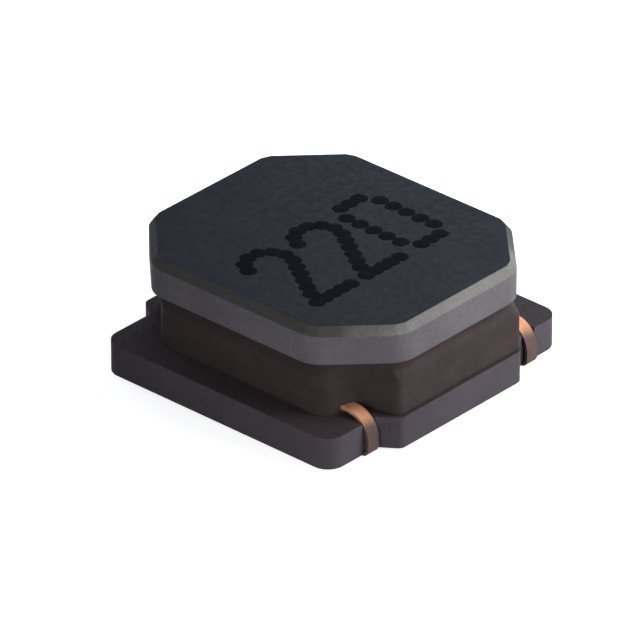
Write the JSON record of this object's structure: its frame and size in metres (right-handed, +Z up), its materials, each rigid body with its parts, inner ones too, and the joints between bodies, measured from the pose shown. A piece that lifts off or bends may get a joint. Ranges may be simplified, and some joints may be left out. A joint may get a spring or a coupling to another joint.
{
  "type": "surface mount power inductor",
  "caption": "Low square power inductor: octagonal ferrite top over a resin-filled coil, rounded square base, flat copper wire ends folded under from one side.",
  "frame": {"origin": "centre of the footprint, in the plane the terminals stand on", "axes": "+Z up to the top face, -Y the side with the two wire ends, +X along that side"},
  "size_m": [0.005, 0.005, 0.002],
  "materials": {
    "ferrite": "sintered",
    "copper": "satin",
    "resin": "matt",
    "plating": "satin",
    "solder": "satin"
  },
  "bodies": {
    "root": {"drum_core": "ferrite", "winding": "copper", "resin_fill": "resin", "terminal_left": "plating", "terminal_right": "plating", "solder_left": "solder", "solder_right": "solder"}
  },
  "joints": []
}
